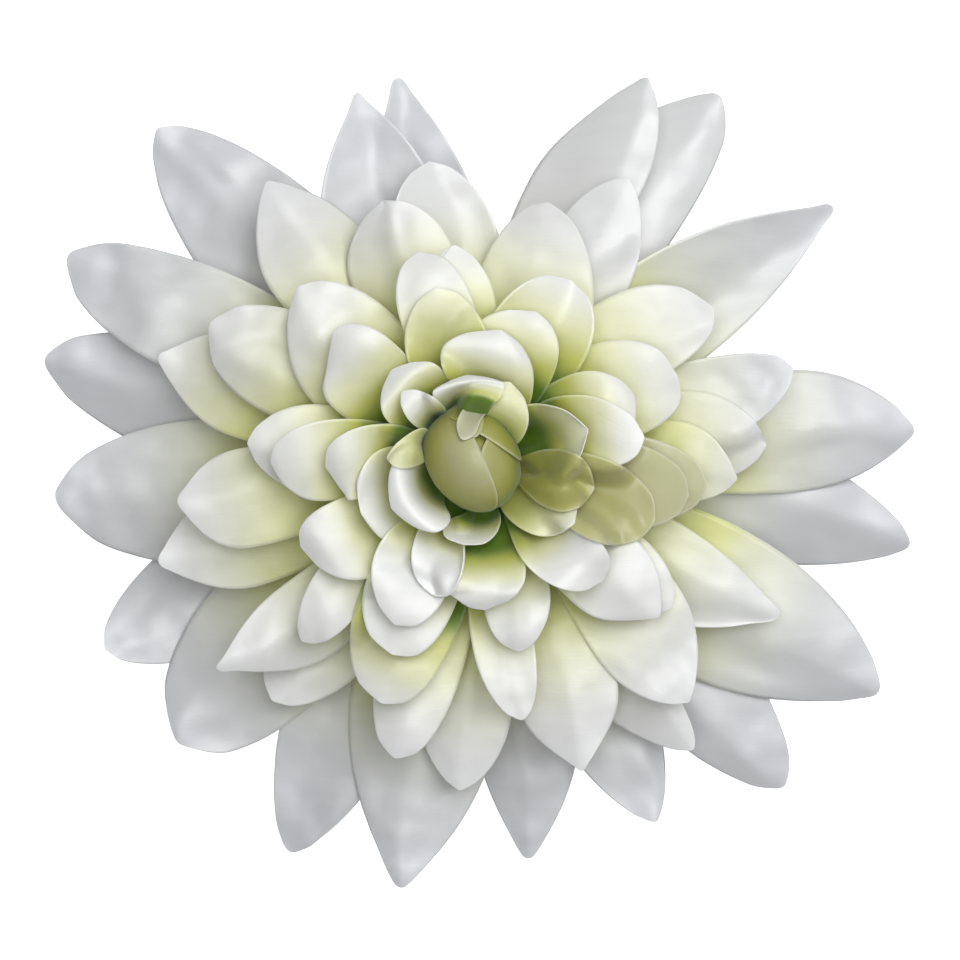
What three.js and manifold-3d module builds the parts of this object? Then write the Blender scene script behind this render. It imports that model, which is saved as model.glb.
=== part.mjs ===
// The head of a satin dahlia that lies face up: eight rosettes of ten pressed petals, threaded on a
// peg round a wrapped bud, over a moulded calyx.
// Millimetres and degrees, +Z up. The calyx's foot stands at z = 0, and the origin is under the
// middle of the head's box. Directions turn anticlockwise from +X, seen from above.
import * as THREE from 'three';
import { mergeVertices } from 'three/addons/utils/BufferGeometryUtils.js';
import Module from 'manifold-3d';

const wasm = await Module();
wasm.setup();

// Driving dimensions.
const PETALS_IN_ROSETTE = 10;
const CLOTH = 0.8; // a stiffened petal with its lining
const GAP = 0.65; // between one petal and the next above it
const PEG_RADIUS = 4;
const PEG_FOOT = 2.4;
const PEG_TOP = 31;
const FIT_GAP = 0.4; // round the peg and under the bud
const WASHER_WIDTH = 1.8; // the ring of cloth round the peg that joins a rosette's petals
const CLAW_HALF_WIDTH = 1.1; // half of a petal's width where it leaves the peg
const TIP_HALF_WIDTH = 0.5; // tips are cut square
const CLAW_CUP = 30; // how far a petal's edges turn up where it leaves the peg
const HOLD = 0.35; // share of a petal's span that each end's slope carries on for
const BUD_RADIUS = 6.8;
const BUD_HEIGHT = 13.6;
const BUD_FULLNESS = 0.9; // 1 for a ball, less for blunter ends
const CALYX_FOOT_RADIUS = 8;
const CALYX_FOOT_HEIGHT = 1.2;
const CALYX_WAIST_RADIUS = 6;
const CALYX_WAIST_HEIGHT = 2.6;
const CALYX_CUP_RADIUS = 9; // the sepals part outside this
const CALYX_RIM_RADIUS = 14;
const CALYX_HEIGHT = 7.4;
const SEPAL_THICKNESS = 0.9;
const SEPALS = 5;
const SEPAL_SHARE = 0.22; // how much of the rim's radius is the sepals' own

// One rosette each, lowest first. hub: its height on the peg. start: the direction in which its
// first petal leaves the peg. rise and fall: a petal's slope at the peg and at the tip.
// tip: the tips' height. widest: where along it a petal is widest. point: 0.5 for a round tip,
// 1 for a pointed one. cup: how far the edges turn up.
// Of each petal, turn and reach say where its tip is, seen from above, bow is how far its middle
// swings anticlockwise of the tip, and fold is how far its two halves tilt up from the midrib, or
// down where it is negative.
const ROSETTES = [
  {
    name: 'a', hub: 9, start: 24.6, rise: 20, fall: -34, tip: 4, widest: 0.7, point: 0.9, cup: 6,
    petals: [
      { turn: 16.6, reach: 48.6, width: 13, bow: -1.6, hub: 13.6, tip: 22, fall: -6, point: 0.55 },
      { turn: 57.0, reach: 65.6, width: 13.5, bow: 1, point: 0.55 },
      { turn: 101.8, reach: 58.8, width: 12.5, bow: 0.3, fold: 10 },
      { turn: 133.8, reach: 69.0, width: 18, bow: 0.6, point: 0.75 },
      { turn: 166.7, reach: 66.5, width: 16.5, bow: 0.5 },
      { turn: 206.5, reach: 62.3, width: 15.5, bow: 1.2, tip: 2, point: 1 },
      { turn: 244.1, reach: 64.5, width: 16, bow: 0.8, fold: 14 },
      { turn: 277.2, reach: 59.7, width: 14.5, bow: 0.8, fold: -10 },
      { turn: 313.3, reach: 66.6, width: 15, bow: 0.8, fold: 8 },
      { turn: 349.1, reach: 65.7, width: 16, bow: 0.5, fold: 6 },
    ],
  },
  {
    name: 'b', hub: 12, start: 4.1, rise: 24, fall: -28, tip: 10, widest: 0.7, point: 0.9, cup: 6,
    petals: [
      { turn: 4.2, reach: 65.3, width: 19, bow: 0.8 },
      { turn: 35.8, reach: 65.1, width: 15.5, bow: -1.2, fold: 12, widest: 0.52, point: 1 },
      { turn: 66.3, reach: 62.6, width: 15.5, bow: 1.8, fold: -10 },
      { turn: 108.1, reach: 57.7, width: 15, bow: 0.8, fold: 8 },
      { turn: 153.2, reach: 68.2, width: 16, bow: 1.3, point: 0.75 },
      { turn: 184.5, reach: 63.3, width: 19.5, bow: 0.4 },
      { turn: 223.0, reach: 61.1, width: 19, point: 0.6 },
      { turn: 259.6, reach: 64.3, width: 19.5, bow: 0.3, fold: -8, point: 1.15 },
      { turn: 296.4, reach: 59.5, width: 16, bow: 0.4, fold: -12 },
      { turn: 330.1, reach: 68.7, width: 20.5, fold: 8 },
    ],
  },
  {
    name: 'c', hub: 15, start: 340.6, rise: 30, fall: -24, tip: 19, widest: 0.68, point: 0.75,
    cup: 10,
    petals: [
      { turn: 333.0, reach: 50.2, width: 12.5, bow: -0.8, fold: -10, point: 1 },
      { turn: 3.4, reach: 42.8, width: 14.5, point: 0.6 },
      { turn: 62.1, reach: 47.6, width: 13.5, bow: -0.3, fold: -8 },
      { turn: 99.2, reach: 45.1, width: 16, fold: 8, point: 0.55 },
      { turn: 126.8, reach: 52.0, width: 15.5, bow: 0.9, fold: -10 },
      { turn: 161.7, reach: 49.8, width: 15 },
      { turn: 197.4, reach: 49.5, width: 14.5 },
      { turn: 229.2, reach: 46.6, width: 14, point: 0.6 },
      { turn: 266.9, reach: 48.7, width: 14, point: 0.7 },
      { turn: 306.9, reach: 53.1, width: 12.5, bow: -0.8, fold: -8, point: 0.9 },
    ],
  },
  {
    name: 'd', hub: 18, start: 36.6, rise: 36, fall: -24, tip: 26, widest: 0.66, point: 0.65,
    cup: 12,
    petals: [
      { turn: 33.2, reach: 41.5, width: 15, bow: 1.3 },
      { turn: 74.7, reach: 39.8, width: 16.5, point: 0.55 },
      { turn: 109.9, reach: 41.0, width: 14.5, point: 0.5 },
      { turn: 152.7, reach: 44.5, width: 14.5, bow: 0.5, fold: -8 },
      { turn: 187.3, reach: 44.5, width: 13.5, bow: 0.4, fold: -6 },
      { turn: 218.4, reach: 49.0, width: 13.5, point: 0.9 },
      { turn: 254.3, reach: 45.3, width: 13.5 },
      { turn: 288.7, reach: 48.0, width: 14, bow: 1.2, fold: -10, point: 0.8 },
      { turn: 311.3, reach: 47.1, width: 15.5, point: 0.55 },
      { turn: 356.4, reach: 38.3, width: 12.5 },
    ],
  },
  {
    name: 'e', hub: 21, start: 30.5, rise: 40, fall: -26, tip: 32, widest: 0.64, point: 0.6,
    cup: 16,
    petals: [
      { turn: 23.0, reach: 32.0, width: 14.5, bow: 1.2 },
      { turn: 62.7, reach: 30.0, width: 15, hub: 21.4, fold: -8 },
      { turn: 96.3, reach: 31.5, width: 11 },
      { turn: 135.7, reach: 36.9, width: 15, fold: -8 },
      { turn: 175.2, reach: 33.9, width: 13 },
      { turn: 225.5, reach: 37.0, width: 9, bow: -0.8, cup: 40 },
      { turn: 248.2, reach: 38.1, width: 14 },
      { turn: 279.7, reach: 38.5, width: 9.5, bow: -0.4 },
      { turn: 323.0, reach: 35.5, width: 12 },
      { turn: 353.9, reach: 33.8, width: 12.5 },
    ],
  },
  {
    name: 'f', hub: 24.3, start: 29.8, rise: 42, fall: -28, tip: 37, widest: 0.64, point: 0.55,
    cup: 22,
    petals: [
      { turn: 22.7, reach: 24.9, width: 12.5 },
      { turn: 68.8, reach: 23.6, width: 12.5 },
      { turn: 105.7, reach: 32.0, width: 11, tip: 34 },
      { turn: 137.2, reach: 28.2, width: 12.5 },
      { turn: 180.0, reach: 30.2, width: 12 },
      { turn: 205.6, reach: 28.8, width: 12 },
      { turn: 246.0, reach: 30.8, width: 13 },
      { turn: 282.5, reach: 28.4, width: 11, bow: 0.6 },
      { turn: 319.6, reach: 34.9, width: 12.5, tip: 35 },
      { turn: 350.9, reach: 31.3, width: 12.5 },
    ],
  },
  {
    name: 'g', hub: 26.5, start: 26.3, rise: 40, fall: -30, tip: 41, widest: 0.64, point: 0.55,
    cup: 28,
    petals: [
      { turn: 8.6, reach: 24.6, width: 11.5, bow: 0.8 },
      { turn: 80.3, reach: 19.6, width: 12 },
      { turn: 103.6, reach: 26.2, width: 12, cup: 40 },
      { turn: 131.0, reach: 16.7, width: 9 },
      { turn: 181.9, reach: 22.2, width: 11 },
      { turn: 203.3, reach: 18.9, width: 14.5 },
      { turn: 243.0, reach: 26.6, width: 12.5, bow: -0.8 },
      { turn: 272.8, reach: 21.2, width: 12 },
      { turn: 316.7, reach: 25.1, width: 10 },
      { turn: 341.5, reach: 27.4, width: 12 },
    ],
  },
  {
    name: 'h', hub: 29, start: 25.9, rise: 35, fall: -30, tip: 44.5, widest: 0.64, point: 0.55,
    cup: 36,
    petals: [
      { turn: 16.4, reach: 15.9, width: 12.5 },
      { turn: 61.4, reach: 13.2, width: 9 },
      { turn: 95.0, reach: 13.2, width: 10 },
      { turn: 140.0, reach: 12.7, width: 7 },
      { turn: 175.0, reach: 12.8, width: 6 },
      { turn: 211.0, reach: 13.6, width: 15 },
      { turn: 251.7, reach: 20.5, width: 9, tip: 42 },
      { turn: 262.0, reach: 12.6, width: 8 },
      { turn: 327.5, reach: 16.7, width: 8.5, tip: 42 },
      { turn: 347.1, reach: 17.5, width: 9, tip: 41 },
    ],
  },
];
const SEPARATE_ROSETTES = 5; // the petals of these are pieces of their own

// How finely a petal is worked out, and how many of those steps one facet of its solid takes.
// Its steps are shorter towards the tip.
const STEPS_ALONG = 24;
const STEPS_ACROSS = 12;
const FACET_ALONG = 4;
const FACET_ACROSS = 3;
const TIP_CROWDING = 1.35;
const SIMPLER = 0.06; // joined rosettes lose facets that stand out less than this
const ROUND_SEGMENTS = 24;
const BUD_STEPS = 12;
const CALYX_SEGMENTS = 40;

// How the petals settle on each other.
const FREE_FROM = 0.07; // share of a petal that the peg holds down
const STEEPEST = 0.35; // upright share of a face, below which no more room is made for its slant
const ROOM = 0.3; // cut free under a joined rosette that presses into the one below

const HUB_RADIUS = PEG_RADIUS + FIT_GAP + CLOTH / 2;
const rad = THREE.MathUtils.degToRad;
const UP = new THREE.Vector3(0, 0, 1);

function outward(degrees) {
  return new THREE.Vector3(Math.cos(rad(degrees)), Math.sin(rad(degrees)), 0);
}

function sloped(degrees, slope) {
  return outward(degrees).multiplyScalar(Math.cos(rad(slope))).addScaledVector(UP, Math.sin(rad(slope)));
}

// The line that a petal follows from the peg to its tip.
function midrib(petal) {
  const base = outward(petal.leaves).multiplyScalar(HUB_RADIUS).addScaledVector(UP, petal.hub);
  const tip = outward(petal.turn).multiplyScalar(petal.reach).addScaledVector(UP, petal.tip);
  const hold = HOLD * base.distanceTo(tip);
  return new THREE.CubicBezierCurve3(
    base,
    sloped(petal.leaves, petal.rise).multiplyScalar(hold).add(base),
    sloped(petal.turn, petal.fall).multiplyScalar(-hold).add(tip),
    tip,
  );
}

function halfWidth(petal, along) {
  const grown = Math.sin((Math.PI / 2) * Math.min(along / petal.widest, 1)) ** 1.1;
  const past = Math.max(along - petal.widest, 0) / (1 - petal.widest);
  const taper = Math.max(1 - past ** 2.2, 0) ** petal.point;
  const half = CLAW_HALF_WIDTH + (petal.width / 2 - CLAW_HALF_WIDTH) * grown;
  return Math.max(half * taper, TIP_HALF_WIDTH);
}

// The middle surface of a petal's cloth, row by row from the peg, each row from right to left.
function petalRows(petal) {
  const line = midrib(petal);
  const rows = [];
  for (let i = 0; i <= STEPS_ALONG; i += 1) {
    const along = 1 - (1 - i / STEPS_ALONG) ** TIP_CROWDING;
    const centre = line.getPoint(along);
    const left = outward(petal.leaves + (petal.turn - petal.leaves) * along + 90);
    const face = line.getTangent(along).cross(left).normalize();
    centre.addScaledVector(left, petal.bow * Math.sin(Math.PI * along ** 1.3));
    const half = halfWidth(petal, along);
    const cup = rad(petal.cup + (CLAW_CUP - petal.cup) * (1 - along) ** 4);
    const bend = half / cup;
    const row = [];
    for (let j = 0; j <= STEPS_ACROSS; j += 1) {
      const arc = (2 * j / STEPS_ACROSS - 1) * cup;
      const across = bend * Math.sin(arc);
      const height = bend * (1 - Math.cos(arc)) + Math.abs(across) * Math.tan(rad(petal.fold)) * along;
      row.push(centre.clone().addScaledVector(left, across).addScaledVector(face, height));
    }
    rows.push(row);
  }
  return rows;
}

// The direction that the cloth faces at each point of its rows.
function facing(rows) {
  const last = rows.length - 1;
  const end = rows[0].length - 1;
  return rows.map((row, i) => row.map((_, j) => {
    const along = rows[Math.min(i + 1, last)][j].clone().sub(rows[Math.max(i - 1, 0)][j]);
    const across = rows[i][Math.min(j + 1, end)].clone().sub(rows[i][Math.max(j - 1, 0)]);
    return along.cross(across).normalize();
  }));
}

// How high the cloth laid so far reaches over each spot of the table.
const SPOT = 0.25;
const SPOTS = 600;
const FINE = 10; // points laid along and across each step of a petal
const tops = new Float32Array(SPOTS * SPOTS).fill(-1);

function spotOf(x, y) {
  return Math.round(y / SPOT + SPOTS / 2) * SPOTS + Math.round(x / SPOT + SPOTS / 2);
}

function addToTops(rows) {
  const faces = facing(rows);
  const point = new THREE.Vector3();
  for (let i = 0; i < (rows.length - 1) * FINE; i += 1) {
    for (let j = 0; j < (rows[0].length - 1) * FINE; j += 1) {
      const a = Math.floor(i / FINE);
      const b = Math.floor(j / FINE);
      const s = (i % FINE) / FINE;
      const t = (j % FINE) / FINE;
      point.copy(rows[a][b]).multiplyScalar((1 - s) * (1 - t))
        .addScaledVector(rows[a + 1][b], s * (1 - t))
        .addScaledVector(rows[a][b + 1], (1 - s) * t)
        .addScaledVector(rows[a + 1][b + 1], s * t);
      const top = point.z + CLOTH / 2 / Math.max(faces[a][b].z, STEEPEST);
      const spot = spotOf(point.x, point.y);
      [spot, spot - 1, spot + 1, spot - SPOTS, spot + SPOTS].forEach((near) => {
        tops[near] = Math.max(tops[near], top);
      });
    }
  }
}

function eased(grid, pick) {
  const last = grid.length - 1;
  const end = grid[0].length - 1;
  return grid.map((row, i) => row.map((_, j) => {
    const near = [];
    for (let a = Math.max(i - 1, 0); a <= Math.min(i + 1, last); a += 1) {
      for (let b = Math.max(j - 1, 0); b <= Math.min(j + 1, end); b += 1) {
        near.push(grid[a][b]);
      }
    }
    return pick(near);
  }));
}

const largest = (values) => Math.max(...values);
const mean = (values) => values.reduce((sum, value) => sum + value, 0) / values.length;

// Lifts a petal off the cloth that is already under it.
function settle(rows) {
  const faces = facing(rows);
  const needed = rows.map((row, i) => row.map((point, j) => {
    const slant = Math.max(faces[i][j].z, STEEPEST);
    return Math.max(tops[spotOf(point.x, point.y)] + (GAP + CLOTH / 2) / slant - point.z, 0);
  }));
  const lift = eased(eased(eased(needed, largest), mean), mean);
  rows.forEach((row, i) => row.forEach((point, j) => {
    const free = Math.min(i / STEPS_ALONG / FREE_FROM, 1);
    point.z += Math.max(lift[i][j], needed[i][j]) * free;
  }));
}

// A closed mesh from a grid of points on the upper face and one on the lower face.
function closedSheet(upper, lower) {
  const rows = upper.length;
  const columns = upper[0].length;
  const points = [...upper.flat(), ...lower.flat()];
  const half = rows * columns;
  const index = [];
  const quad = (a, b, c, d) => index.push(a, b, c, a, c, d);
  for (let i = 0; i + 1 < rows; i += 1) {
    for (let j = 0; j + 1 < columns; j += 1) {
      const a = i * columns + j;
      quad(a, a + columns, a + columns + 1, a + 1);
      quad(half + a, half + a + 1, half + a + columns + 1, half + a + columns);
    }
  }
  const rim = [];
  for (let j = 0; j < columns; j += 1) rim.push(j);
  for (let i = 1; i < rows; i += 1) rim.push(i * columns + columns - 1);
  for (let j = columns - 2; j >= 0; j -= 1) rim.push((rows - 1) * columns + j);
  for (let i = rows - 2; i > 0; i -= 1) rim.push(i * columns);
  rim.forEach((a, k) => {
    const b = rim[(k + 1) % rim.length];
    quad(a, b, half + b, half + a);
  });
  const geometry = new THREE.BufferGeometry();
  const flat = points.flatMap((point) => point.toArray());
  geometry.setAttribute('position', new THREE.Float32BufferAttribute(flat, 3));
  geometry.setIndex(index);
  return geometry;
}

function petalGeometry(rows) {
  const faces = facing(rows);
  const sample = (side) => {
    const grid = [];
    for (let i = 0; i <= STEPS_ALONG; i += FACET_ALONG) {
      const row = [];
      for (let j = 0; j <= STEPS_ACROSS; j += FACET_ACROSS) {
        row.push(rows[i][j].clone().addScaledVector(faces[i][j], side * CLOTH / 2));
      }
      grid.push(row);
    }
    return grid;
  };
  return closedSheet(sample(1), sample(-1));
}

function toSolid(geometry) {
  const bare = geometry.clone();
  bare.deleteAttribute('normal');
  bare.deleteAttribute('uv');
  const merged = mergeVertices(bare, 1e-4);
  return new wasm.Manifold(new wasm.Mesh({
    numProp: 3,
    vertProperties: Float32Array.from(merged.attributes.position.array),
    triVerts: Uint32Array.from(merged.index.array),
  }));
}

function toGeometry(solid) {
  const mesh = solid.getMesh();
  const geometry = new THREE.BufferGeometry();
  geometry.setAttribute('position', new THREE.BufferAttribute(mesh.vertProperties, 3));
  geometry.setIndex(new THREE.BufferAttribute(mesh.triVerts, 1));
  return geometry;
}

// A solid of revolution: its profile is [radius, height] pairs that start and end on the axis.
function turned(profile, segments) {
  const geometry = new THREE.LatheGeometry(profile.map(([r, z]) => new THREE.Vector2(r, z)), segments);
  geometry.rotateX(Math.PI / 2);
  return geometry;
}

const satin = (colour) => new THREE.MeshStandardMaterial({ color: colour, roughness: 0.6, metalness: 0 });
const plastic = (colour) => new THREE.MeshStandardMaterial({ color: colour, roughness: 0.5, metalness: 0 });
const OUTER_SATIN = satin(0xf2f3f4);
const INNER_SATIN = satin(0xeef0d8);
const BUD_SATIN = satin(0xc3c98f);
const CALYX_GREEN = plastic(0x4f7a35);
const PEG_GREEN = plastic(0x7f9a55);

const head = new THREE.Group();

function place(name, geometry, material) {
  geometry.computeVertexNormals();
  const mesh = new THREE.Mesh(geometry, material);
  mesh.name = name;
  head.add(mesh);
}

// Every petal, with what its rosette gives and the way it leaves the peg.
const petals = ROSETTES.flatMap(({ petals: own, ...shared }, ring) => own.map((petal, k) => {
  const leaves = shared.start + k * 360 / PETALS_IN_ROSETTE;
  const whole = { bow: 0, fold: 0, ...shared, ...petal, ring, leaves };
  whole.name = `petal_${shared.name}_${String(k + 1).padStart(2, '0')}`;
  while (whole.leaves - whole.turn > 180) whole.leaves -= 360;
  return whole;
}));

// The petals are laid from the lowest on the peg to the highest, those of a joined rosette
// all at once.
const isSeparate = (petal) => petal.ring < SEPARATE_ROSETTES;
petals.sort((one, other) => one.hub - other.hub);
petals.forEach((petal, k) => {
  petal.rows = petalRows(petal);
  settle(petal.rows);
  if (isSeparate(petal)) {
    addToTops(petal.rows);
  } else if ((k + 1) % PETALS_IN_ROSETTE === 0) {
    petals.slice(k + 1 - PETALS_IN_ROSETTE, k + 1).forEach((own) => addToTops(own.rows));
  }
});

petals.filter(isSeparate).forEach((petal) => {
  place(petal.name, petalGeometry(petal.rows), petal.ring < 3 ? OUTER_SATIN : INNER_SATIN);
});

function washer(hub) {
  const inner = PEG_RADIUS + FIT_GAP;
  const outer = inner + WASHER_WIDTH;
  const low = hub - CLOTH / 2;
  const high = hub + CLOTH / 2;
  const profile = [[inner, low], [outer, low], [outer, high], [inner, high], [inner, low]];
  return toSolid(turned(profile, ROUND_SEGMENTS));
}

const joined = ROSETTES.slice(SEPARATE_ROSETTES).map(({ name, hub }, k) => {
  const own = petals.filter((petal) => petal.ring === SEPARATE_ROSETTES + k);
  const solids = own.map((petal) => toSolid(petalGeometry(petal.rows)));
  const solid = solids.reduce((whole, petal) => whole.add(petal), washer(hub));
  return { name: `rosette_${name}`, solid: solid.simplify(SIMPLER) };
});
joined.forEach(({ name, solid }, k) => {
  const above = joined[k + 1]?.solid;
  const cut = above ? solid.subtract(above).subtract(above.translate(0, 0, -ROOM)) : solid;
  const pieces = cut.decompose().sort((one, other) => other.volume() - one.volume());
  place(name, toGeometry(pieces[0]), INNER_SATIN);
});

const pegProfile = [[0, PEG_FOOT], [PEG_RADIUS, PEG_FOOT], [PEG_RADIUS, PEG_TOP], [0, PEG_TOP]];
place('peg', turned(pegProfile, ROUND_SEGMENTS), PEG_GREEN);

function budGeometry() {
  const profile = [];
  for (let i = 0; i <= BUD_STEPS; i += 1) {
    const turn = Math.PI * i / BUD_STEPS;
    const radius = i % BUD_STEPS ? BUD_RADIUS * Math.sin(turn) ** BUD_FULLNESS : 0;
    profile.push([radius, PEG_TOP + FIT_GAP + BUD_HEIGHT * (1 - Math.cos(turn)) / 2]);
  }
  return turned(profile, ROUND_SEGMENTS);
}

place('bud', budGeometry(), BUD_SATIN);

// A foot, a waist, a cup with a bore for the peg, and a rim that parts into blunt sepals.
function calyxGeometry() {
  const bore = PEG_RADIUS + FIT_GAP;
  const floor = PEG_FOOT - FIT_GAP;
  const under = CALYX_HEIGHT - SEPAL_THICKNESS;
  const geometry = turned([
    [0, 0],
    [CALYX_FOOT_RADIUS, 0],
    [CALYX_FOOT_RADIUS, CALYX_FOOT_HEIGHT],
    [CALYX_WAIST_RADIUS, CALYX_WAIST_HEIGHT],
    [CALYX_CUP_RADIUS, under - SEPAL_THICKNESS],
    [CALYX_RIM_RADIUS, under],
    [CALYX_RIM_RADIUS, CALYX_HEIGHT],
    [CALYX_CUP_RADIUS, CALYX_HEIGHT - SEPAL_THICKNESS / 2],
    [bore, under],
    [bore, floor],
    [0, floor],
  ], CALYX_SEGMENTS);
  const spots = geometry.attributes.position;
  for (let k = 0; k < spots.count; k += 1) {
    const x = spots.getX(k);
    const y = spots.getY(k);
    const radius = Math.hypot(x, y);
    const share = Math.max(radius - CALYX_CUP_RADIUS, 0) / (CALYX_RIM_RADIUS - CALYX_CUP_RADIUS);
    const lobe = 0.5 + 0.5 * Math.cos(SEPALS * Math.atan2(y, x));
    const scale = 1 - SEPAL_SHARE * share * (1 - lobe ** 0.7);
    spots.setXY(k, x * scale, y * scale);
  }
  return geometry;
}

place('calyx', calyxGeometry(), CALYX_GREEN);

const box = new THREE.Box3().setFromObject(head);
const middle = box.getCenter(new THREE.Vector3());
head.position.set(-middle.x, -middle.y, 0);
head.updateMatrixWorld(true);

export default head;
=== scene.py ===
# %% [markdown]
# # A satin dahlia, petal by petal
# This is the head of a cloth dahlia that lies face up on a white table. Eight die-cut rosettes of
# ten satin petals are threaded on a peg, over a moulded calyx, and a wrapped bud closes the middle.
# The construction comes first as a plain solid model, the frame. This script dresses it: each
# solid petal gives way to thin pressed cloth in the same place.
# Lengths are worked out in millimetres from the peg's axis, and turned into metres at the end.

# %% Load the frame
import math
import bpy
import numpy as np
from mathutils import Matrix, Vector


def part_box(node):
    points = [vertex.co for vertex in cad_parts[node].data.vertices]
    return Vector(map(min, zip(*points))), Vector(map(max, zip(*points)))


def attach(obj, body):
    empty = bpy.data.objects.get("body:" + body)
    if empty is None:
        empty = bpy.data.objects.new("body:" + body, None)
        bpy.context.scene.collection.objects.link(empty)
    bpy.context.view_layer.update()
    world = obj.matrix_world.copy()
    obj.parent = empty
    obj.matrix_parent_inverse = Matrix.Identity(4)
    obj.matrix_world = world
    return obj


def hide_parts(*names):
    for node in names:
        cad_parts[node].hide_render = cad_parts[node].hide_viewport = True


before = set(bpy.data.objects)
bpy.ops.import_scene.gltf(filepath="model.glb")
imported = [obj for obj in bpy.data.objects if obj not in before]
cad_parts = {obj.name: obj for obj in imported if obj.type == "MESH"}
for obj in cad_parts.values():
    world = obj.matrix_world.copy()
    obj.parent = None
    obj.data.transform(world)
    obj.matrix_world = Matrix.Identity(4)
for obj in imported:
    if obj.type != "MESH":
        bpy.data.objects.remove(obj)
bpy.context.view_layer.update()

MM = 0.001
peg_low, peg_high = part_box("peg")
AXIS = (Vector(peg_low) + Vector(peg_high)) / 2
AXIS.z = 0
print("frame of", len(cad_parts), "nodes, axis at", tuple(AXIS))

# %% [markdown]
# ## The camera
# The photographer stood over the flower with a long lens, so nothing of its sides shows and the
# high middle is hardly larger than the low rim. A long lens at 1.5 m gives the same view. Its
# focal length follows from how wide a piece of the table the picture takes in.

# %% Camera straight above
VIEW_WIDTH = 0.144
VIEW_HEIGHT = 1.5
VIEW_CENTRE = (0.0002, 0.0002)
camera = bpy.data.objects.new("camera", bpy.data.cameras.new("camera"))
camera.data.lens = camera.data.sensor_width * VIEW_HEIGHT / VIEW_WIDTH
camera.location = (*VIEW_CENTRE, VIEW_HEIGHT)
bpy.context.collection.objects.link(camera)
bpy.context.scene.camera = camera
print("lens", round(camera.data.lens), "mm")

# %% [markdown]
# ## Writing node trees
# Petal shapes and finishes are both node trees with a good deal of maths in them. A long row of
# "new node, link, link" hides the formula, so two small classes are used. A Wire is one output of
# a node, and a sum on it adds the nodes that work it out. A Plan is the tree that is being
# written, and its one method adds any other node.

# %% Wire and Plan
class Wire:
    """One output of a node, with the sums that may be done on it."""

    def __init__(self, plan, socket):
        self.plan = plan
        self.socket = socket

    def __add__(self, other):
        return self.plan.sums("ADD", self, other)

    def __sub__(self, other):
        return self.plan.sums("SUBTRACT", self, other)

    def __rsub__(self, other):
        return self.plan.sums("SUBTRACT", other, self)

    def __mul__(self, other):
        return self.plan.sums("MULTIPLY", self, other)

    def __truediv__(self, other):
        return self.plan.sums("DIVIDE", self, other)

    def __pow__(self, other):
        return self.plan.sums("POWER", self, other)

    __radd__ = __add__
    __rmul__ = __mul__


class Plan:
    """A node tree that is being written."""

    def __init__(self, tree):
        self.tree = tree

    def node(self, kind, settings=None, sockets=None, out=0):
        """Adds a node: first its settings, then a value or a link on each socket."""
        made = self.tree.nodes.new(kind)
        for name, value in (settings or {}).items():
            setattr(made, name, value)
        for name, value in (sockets or {}).items():
            if isinstance(value, Wire):
                self.tree.links.new(value.socket, made.inputs[name])
            else:
                made.inputs[name].default_value = value
        return Wire(self, made.outputs[out]) if len(made.outputs) else None

    def sums(self, operation, one, other):
        """A sum of numbers or of vectors, or a vector times a number."""
        wires = [isinstance(value, Wire) and value.socket.type == "VECTOR" for value in (one, other)]
        if operation == "MULTIPLY" and wires == [True, False]:
            return self.node("ShaderNodeVectorMath", {"operation": "SCALE"}, {0: one, "Scale": other})
        kind = "ShaderNodeVectorMath" if any(wires) else "ShaderNodeMath"
        return self.node(kind, {"operation": operation}, {0: one, 1: other})

    def maths(self, operation, value, other=0.0):
        return self.node("ShaderNodeMath", {"operation": operation}, {0: value, 1: other})

    def vector(self, x, y, z=0.0):
        """Three numbers as one vector."""
        return self.node("ShaderNodeCombineXYZ", None, {"X": x, "Y": y, "Z": z})

    def parts(self, vector):
        """The three numbers of a vector."""
        split = self.node("ShaderNodeSeparateXYZ", None, {0: vector})
        return [Wire(self, socket) for socket in split.socket.node.outputs]

    def ease(self, value, low, high, at_low=0.0, at_high=1.0):
        """Goes smoothly from at_low to at_high while value goes from low to high."""
        limits = {"From Min": low, "From Max": high, "To Min": at_low, "To Max": at_high}
        settings = {"interpolation_type": "SMOOTHSTEP"}
        return self.node("ShaderNodeMapRange", settings, {"Value": value, **limits})

    def arc(self, rate, start, steps):
        """How far sideways and up a line goes that starts at a slope and bends by rate a step."""
        end = start + rate * steps
        sines = [self.maths("SINE", angle) for angle in (start, end)]
        cosines = [self.maths("COSINE", angle) for angle in (start, end)]
        return (sines[1] - sines[0]) / rate, (cosines[0] - cosines[1]) / rate

    def mixed(self, share, one, other):
        """A colour between one and other: share 0 is one, share 1 is other."""
        # The colour sockets of a Mix node are its sixth and seventh, and its third output.
        return self.node("ShaderNodeMix", {"data_type": "RGBA"}, {0: share, 6: one, 7: other}, out=2)


print("trees are written with", Plan.__name__, "and", Wire.__name__)

# %% [markdown]
# ## Satin
# Stiffened satin is white with a soft, broad gloss, and light comes through it. The finest thing
# that shows is the grain of its threads, which runs one way over a whole rosette because the
# rosette was cut from one piece. The petals carry a UV map, "cut", that says where each point was
# on that flat piece, so the grain follows it. The attribute "dye" says how much green a petal has
# at its foot: none is white, a little is cream, much is leaf green. That green is partly the dye
# sprayed on the foot and partly painted shade: the darkest green, and the extra green and cream on
# petals that lie in shade, stand in for the shade in the hollows. A second attribute is one along
# the cut edge, where a painted highlight makes the cloth paler.

# %% Satin finish
def linear(red, green, blue):
    """A screen colour of 0 to 255 as the linear one that shaders use."""
    shares = [value / 255 for value in (red, green, blue)]
    return (*[s / 12.92 if s < 0.04045 else ((s + 0.055) / 1.055) ** 2.4 for s in shares], 1.0)


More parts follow.
